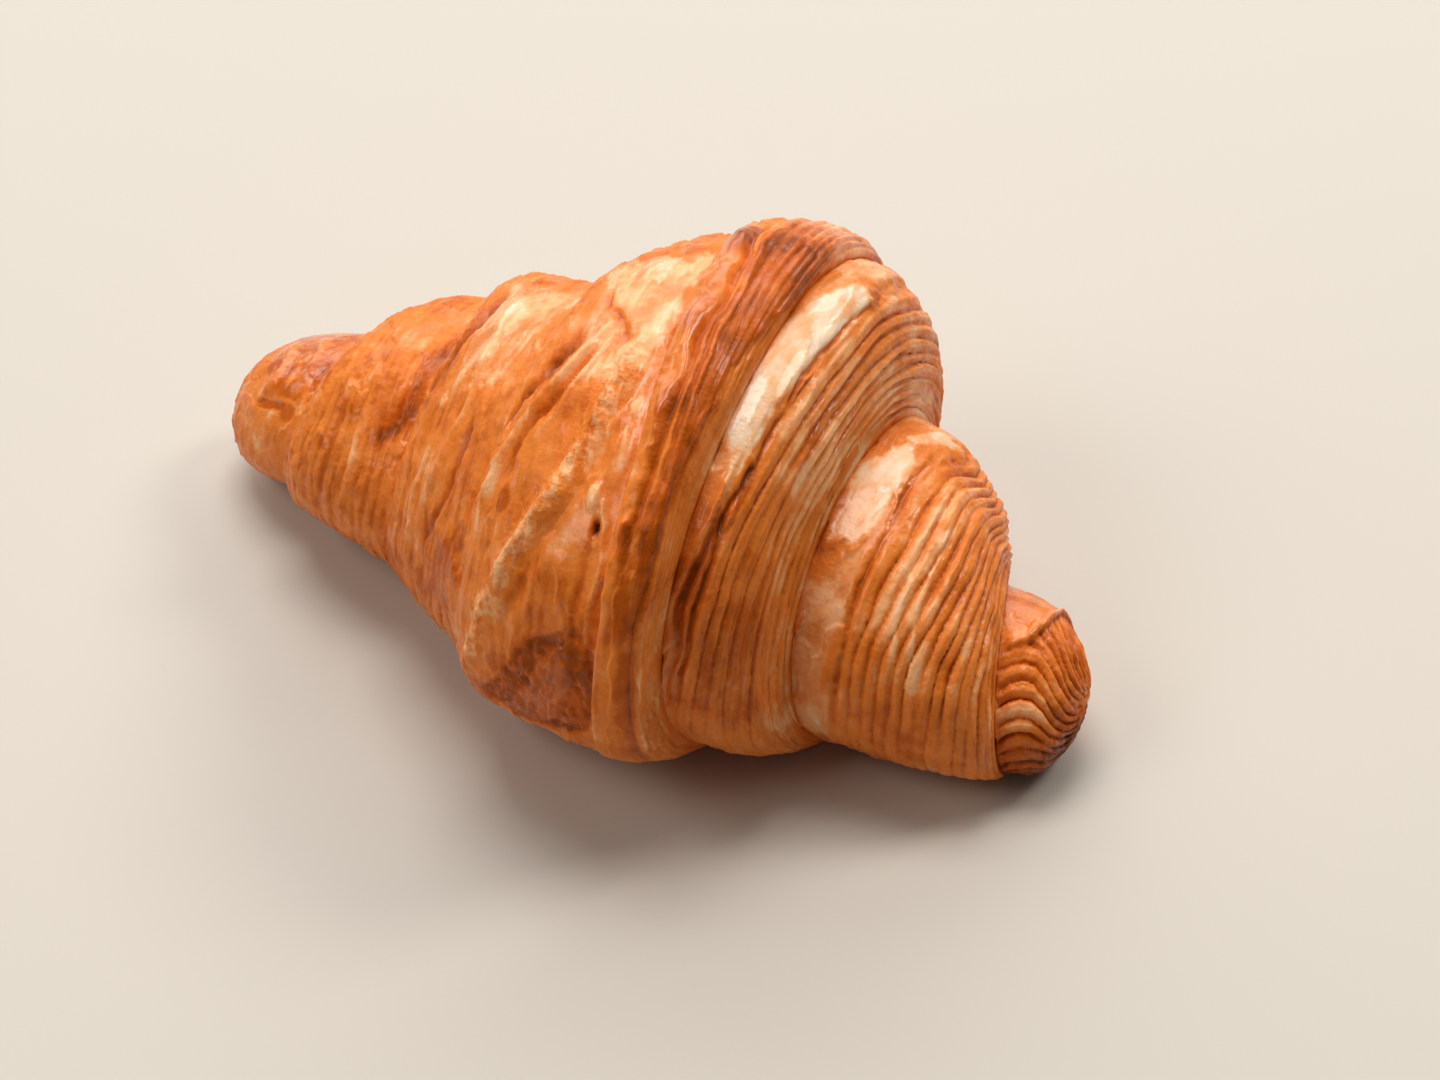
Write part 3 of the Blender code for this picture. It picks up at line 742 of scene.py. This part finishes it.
# %% The relief tree
def relief_tree():
    tree = bpy.data.node_groups.new("crust_relief", "GeometryNodeTree")
    face = tree.interface
    face.new_socket("Geometry", in_out="INPUT", socket_type="NodeSocketGeometry")
    sizes = (("Ridge Waver", 0.30), ("Ridge Depth", 1.0), ("Fine Line Depth mm", 0.10),
             ("Lump Depth mm", 1.3), ("Lump Size mm", 14.0),
             ("Wrinkle Depth mm", 0.55), ("Wrinkle Size mm", 4.0), ("Blister Depth mm", 1.0),
             ("Blister Size mm", 4.4), ("Crumb Depth mm", 0.25), ("Streak Depth mm", 0.9), ("Streak Reach", 3.0), ("Streak Colour", 1.0),
             ("Flake Step mm", 0.4), ("Flakes per mm", 0.22), ("Grain Depth mm", 0.22), ("Seed", 1.0))
    for title, value in sizes:
        face.new_socket(title, in_out="INPUT", socket_type="NodeSocketFloat").default_value = value
    face.new_socket("Material", in_out="INPUT", socket_type="NodeSocketMaterial")
    face.new_socket("Geometry", in_out="OUTPUT", socket_type="NodeSocketGeometry")
    given = tree.nodes.new("NodeGroupInput").outputs

    place = tree.nodes.new("GeometryNodeInputPosition").outputs[0]
    angle, rib, ribbed = (field_of(tree, key) for key in ("angle", "rib", "ribbed"))
    skin, blister, crumb = (field_of(tree, key) for key in ("skin", "blister", "crumb"))
    shown, lift = (field_of(tree, key) for key in ("shown", "lift"))
    ring_x, ring_y = maths(tree, "COSINE", angle), maths(tree, "SINE", angle)

    def ring_noise(across, detail, reach, salt):
        """Noise that runs round the roll: long along the ridges and short across them."""
        spot = (product(tree, ring_x, reach), product(tree, ring_y, reach), across)
        spot = node(tree, "ShaderNodeCombineXYZ", spot).outputs[0]
        inputs = {"Vector": spot, "W": total_of(tree, given["Seed"], salt), "Scale": 1.0, "Detail": detail}
        noise = node(tree, "ShaderNodeTexNoise", inputs, noise_dimensions="4D").outputs[0]
        return maths(tree, "SUBTRACT", noise, 0.5)

    def place_noise(size_mm, detail, salt, distortion=0.0):
        """Noise over the surface, with features of about this size."""
        inputs = {"Vector": place, "W": total_of(tree, given["Seed"], salt), "Distortion": distortion,
                  "Scale": maths(tree, "DIVIDE", 1000.0, size_mm), "Detail": detail}
        noise = node(tree, "ShaderNodeTexNoise", inputs, noise_dimensions="4D").outputs[0]
        return maths(tree, "SUBTRACT", noise, 0.5)

    waver = product(tree, ring_noise(product(tree, rib, 0.4), 1.0, 1.6, 0.0), given["Ridge Waver"], 4.0)
    tremble = product(tree, ring_noise(product(tree, rib, 1.5), 2.0, 14.0, 2.0), 0.16)
    phase = total_of(tree, rib, waver, tremble)
    number = maths(tree, "FLOOR", phase)
    part = maths(tree, "POWER", maths(tree, "SUBTRACT", phase, number), 0.85)
    strength = ring_noise(product(tree, number, 7.3), 1.0, 2.2, 5.0)
    strength = remap(tree, strength, -0.16, 0.10, 0.30, 1.0)
    cord = maths(tree, "POWER", maths(tree, "SINE", product(tree, part, math.pi)), 0.7)
    groove = product(tree, maths(tree, "SUBTRACT", 1.0, cord), strength, ribbed, given["Ridge Depth"])
    step = product(tree, ring_noise(product(tree, number, 3.1), 1.0, 1.5, 7.0), ribbed, 1.7)
    tone = product(tree, ring_noise(product(tree, number, 0.8), 2.0, 1.4, 31.0), maths(tree, "MINIMUM", ribbed, 0.8), 1.3)
    fine = maths(tree, "PINGPONG", product(tree, phase, 2.5), 0.5)
    fine = product(tree, fine, maths(tree, "MINIMUM", product(tree, ribbed, 3.0), 1.0), -2.0)

    network = maths(tree, "ABSOLUTE", place_noise(given["Blister Size mm"], 2.5, 17.0, 1.6))
    bubble = maths(tree, "MULTIPLY_ADD", network, 5.0, -0.5)
    smooth = maths(tree, "SUBTRACT", 1.0, maths(tree, "MINIMUM", product(tree, ribbed, 2.0), 1.0))
    smooth = product(tree, smooth, remap(tree, ring_x, 0.35, 0.75, 1.0, 0.0))
    sheet = ring_noise(product(tree, field_of(tree, "run"), given["Flakes per mm"]), 2.5, 2.4, 60.0)
    flake = product(tree, remap(tree, sheet, -0.010, 0.010, -0.5, 0.5), smooth)
    edge = product(tree, remap(tree, maths(tree, "ABSOLUTE", sheet), 0.0, 0.016, 1.0, 0.0), smooth)
    streak = ring_noise(product(tree, field_of(tree, "run"), 0.55), 3.0, given["Streak Reach"], 40.0)
    rough = maths(tree, "SUBTRACT", 1.0, product(tree, skin, 0.75))
    crumble = maths(tree, "ABSOLUTE", place_noise(2.4, 2.0, 21.0))

    height = total_of(
        tree,
        lift,
        product(tree, groove, -1.0),
        step,
        product(tree, fine, given["Fine Line Depth mm"]),
        product(tree, place_noise(given["Lump Size mm"], 1.0, 8.0), given["Lump Depth mm"]),
        product(tree, place_noise(given["Wrinkle Size mm"], 3.0, 9.0), given["Wrinkle Depth mm"],
                maths(tree, "SUBTRACT", 1.0, product(tree, skin, 0.5))),
        product(tree, streak, given["Streak Depth mm"], rough),
        product(tree, flake, given["Flake Step mm"], rough),
        product(tree, place_noise(0.9, 2.0, 14.0), given["Grain Depth mm"], rough),
        product(tree, bubble, given["Blister Depth mm"], blister),
        product(tree, crumble, given["Crumb Depth mm"], crumb, -4.0),
    )
    height = product(tree, height, shown)

    kept = given["Geometry"]
    for key, value in (("groove", groove), ("relief", height), ("tone", tone), ("streak", product(tree, streak, given["Streak Colour"])),
                       ("flake", maths(tree, "SUBTRACT", flake, edge))):
        inputs = {"Geometry": kept, "Name": key, "Value": value}
        kept = node(tree, "GeometryNodeStoreNamedAttribute", inputs, data_type="FLOAT", domain="POINT").outputs[0]
    push = {"Vector": tree.nodes.new("GeometryNodeInputNormal").outputs[0], "Scale": product(tree, height, MM)}
    push = node(tree, "ShaderNodeVectorMath", push, operation="SCALE").outputs[0]
    moved = node(tree, "GeometryNodeSetPosition", {"Geometry": kept, "Offset": push}).outputs[0]
    split = node(tree, "ShaderNodeSeparateXYZ", (tree.nodes.new("GeometryNodeInputPosition").outputs[0],)).outputs
    resting = node(tree, "ShaderNodeCombineXYZ", (split[0], split[1], maths(tree, "MAXIMUM", split[2], 0.0)))
    settled = node(tree, "GeometryNodeSetPosition", {"Geometry": moved, "Position": resting.outputs[0]})
    real = node(tree, "GeometryNodeRealizeInstances", {"Geometry": settled.outputs[0]})
    dressed = node(tree, "GeometryNodeSetMaterial", {"Geometry": real.outputs[0], "Material": given["Material"]})
    out = tree.nodes.new("NodeGroupOutput")
    tree.links.new(dressed.outputs[0], out.inputs[0])
    return tree


def socket_id(tree, title):
    return next(item.identifier for item in tree.interface.items_tree
                if item.name == title and item.in_out == "INPUT")


def bake_nodes(piece, tree, values):
    """Runs the tree on the piece with these inputs, and leaves it a plain mesh."""
    modifier = piece.modifiers.new(tree.name, "NODES")
    modifier.node_group = tree
    for title, value in values.items():
        modifier[socket_id(tree, title)] = value
    bpy.context.view_layer.update()
    mesh = bpy.data.meshes.new_from_object(piece.evaluated_get(bpy.context.evaluated_depsgraph_get()))
    piece.modifiers.remove(modifier)
    old = piece.data
    piece.data = mesh
    mesh.name = piece.name
    bpy.data.meshes.remove(old)
    return mesh


# %% [markdown]
# The crust's colour is mostly a matter of baking time. One number, from pale to burnt, runs
# through a colour ramp, and everything else only moves that number: grooves and low places are
# painted darker as shade, raised places paler as a painted highlight, glazed skin is paler,
# partly as a painted highlight, and a slow mottle lets the oven brown one place more than the next.

# %% The crust material
def srgb(red, green, blue):
    """A colour given in everyday 0 to 255 values, as the linear values that shaders take."""
    parts = np.array([red, green, blue]) / 255.0
    linear = np.where(parts <= 0.04045, parts / 12.92, ((parts + 0.055) / 1.055) ** 2.4)
    return (*linear.tolist(), 1.0)


BAKE_COLOURS = (
    (0.00, srgb(254, 220, 188)),
    (0.18, srgb(250, 182, 124)),
    (0.38, srgb(231, 128, 48)),
    (0.58, srgb(196, 91, 14)),
    (0.78, srgb(148, 65, 4)),
    (1.00, srgb(92, 42, 2)),
)


def attribute(tree, key):
    return node(tree, "ShaderNodeAttribute", attribute_name=key).outputs["Fac"]


def crust_material():
    material = bpy.data.materials.new("crust")
    material.use_nodes = True
    tree = material.node_tree
    shader = tree.nodes["Principled BSDF"]
    place = tree.nodes.new("ShaderNodeTexCoord").outputs["Object"]

    def noise(size_mm, detail):
        inputs = {"Vector": place, "Scale": 1000.0 / size_mm, "Detail": detail}
        return maths(tree, "SUBTRACT", node(tree, "ShaderNodeTexNoise", inputs).outputs[0], 0.5)

    grain = noise(0.6, 3.0)
    crumbs = noise(1.0, 2.0)
    skin, groove, relief = (attribute(tree, key) for key in ("skin", "groove", "relief"))
    bake_and_painted_light = total_of(
        tree, 0.38, attribute(tree, "bake_and_painted_light"),
        product(tree, noise(20.0, 2.0), 0.35),
        product(tree, noise(5.0, 4.0), 0.34),
        product(tree, noise(1.2, 3.0), 0.14),
        # grooves are painted darker, as shade
        product(tree, groove, 0.15),
        product(tree, attribute(tree, "flake"), 0.09),
        product(tree, attribute(tree, "tone"), 0.40),
        product(tree, attribute(tree, "streak"), 0.36),
        # low places are painted darker as shade, raised places paler as a painted highlight
        product(tree, maths(tree, "MAXIMUM", maths(tree, "MINIMUM", relief, 0.4), -1.0), -0.12),
        product(tree, crumbs, attribute(tree, "crumb"), -0.45),
    )
    ramp = node(tree, "ShaderNodeValToRGB", (bake_and_painted_light,))
    ramp.color_ramp.interpolation = "EASE"
    while len(ramp.color_ramp.elements) < len(BAKE_COLOURS):
        ramp.color_ramp.elements.new(0.5)
    for element, (at, colour) in zip(ramp.color_ramp.elements, BAKE_COLOURS):
        element.position = at
        element.color = colour
    tree.links.new(ramp.outputs[0], shader.inputs["Base Color"])
    roughness = total_of(tree, 0.44, product(tree, skin, -0.20), product(tree, grain, 0.5))
    tree.links.new(roughness, shader.inputs["Roughness"])
    beads = remap(tree, noise(1.6, 2.0), -0.02, 0.10, 0.0, 0.5)
    beads = product(tree, beads, maths(tree, "MINIMUM", attribute(tree, "ribbed"), 1.0))
    sheen = remap(tree, noise(4.0, 3.0), 0.0, 0.12, 0.0, 0.35)
    gloss = maths(tree, "MAXIMUM", maths(tree, "MAXIMUM", product(tree, skin, 0.6), beads), sheen)
    tree.links.new(gloss, shader.inputs["Coat Weight"])
    shader.inputs["Coat Roughness"].default_value = 0.18
    shader.inputs["Specular IOR Level"].default_value = 0.18
    shader.inputs["Specular Tint"].default_value = (1.0, 0.78, 0.55, 1.0)
    shader.inputs["Subsurface Weight"].default_value = 0.15
    shader.inputs["Subsurface Radius"].default_value = (1.0, 0.35, 0.12)
    shader.inputs["Subsurface Scale"].default_value = 0.002
    height = total_of(tree, product(tree, grain, 0.5), product(tree, noise(1.8, 3.0), 0.9),
                      product(tree, crumbs, attribute(tree, "crumb"), 2.0))
    bump = {"Height": height, "Strength": 0.6, "Distance": 0.0004}
    tree.links.new(node(tree, "ShaderNodeBump", bump).outputs[0], shader.inputs["Normal"])
    return material


crust = crust_material()

# %% [markdown]
# The relief is pressed in, and then everything is eased back into the box of the solid. So the
# highest ridge just touches the solid's bounds, and the croissant rests on its flat foot.

# %% Press the relief and fit the box
relief = relief_tree()
LONG_SIDE = {"Streak Depth mm": 0.6, "Streak Reach": 6.0, "Wrinkle Depth mm": 0.9, "Wrinkle Size mm": 3.5,
             "Flake Step mm": 0.6}
SPECIAL = {
    "crown": {"Streak Depth mm": 0.4, "Streak Colour": 0.6},
    "short_wrap_2": {"Ridge Waver": 0.2, "Fine Line Depth mm": 0.2},
    "short_wrap_1": {"Ridge Waver": 0.14},
    "short_tip": {"Ridge Waver": 0.12},
    "long_tip": {"Streak Depth mm": 0.5, "Streak Reach": 3.0, "Wrinkle Depth mm": 0.8, "Wrinkle Size mm": 3.5,
                 "Flake Step mm": 0.2},
}
for number, (name, piece) in enumerate(shells.items()):
    values = {"Seed": 3.0 * number, "Material": crust}
    values.update(SPECIAL.get(name, LONG_SIDE))
    bake_nodes(piece, relief, values).shade_smooth()


def coordinates(mesh):
    flat = np.empty(len(mesh.vertices) * 3, np.float32)
    mesh.vertices.foreach_get("co", flat)
    return flat.reshape(-1, 3).astype(float)


places = {name: coordinates(piece.data) for name, piece in shells.items()}
low = np.min([place.min(axis=0) for place in places.values()], axis=0)
high = np.max([place.max(axis=0) for place in places.values()], axis=0)
scale = box_size / (high - low)
for name, piece in shells.items():
    fitted = box_low + (places[name] - low) * scale
    piece.data.vertices.foreach_set("co", fitted.astype(np.float32).ravel())
    piece.data.update()
    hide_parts(NODE)
    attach(piece, "root")
print("eased by", np.round(scale, 4))
print("triangles in all:", sum(2 * len(piece.data.polygons) for piece in shells.values()))
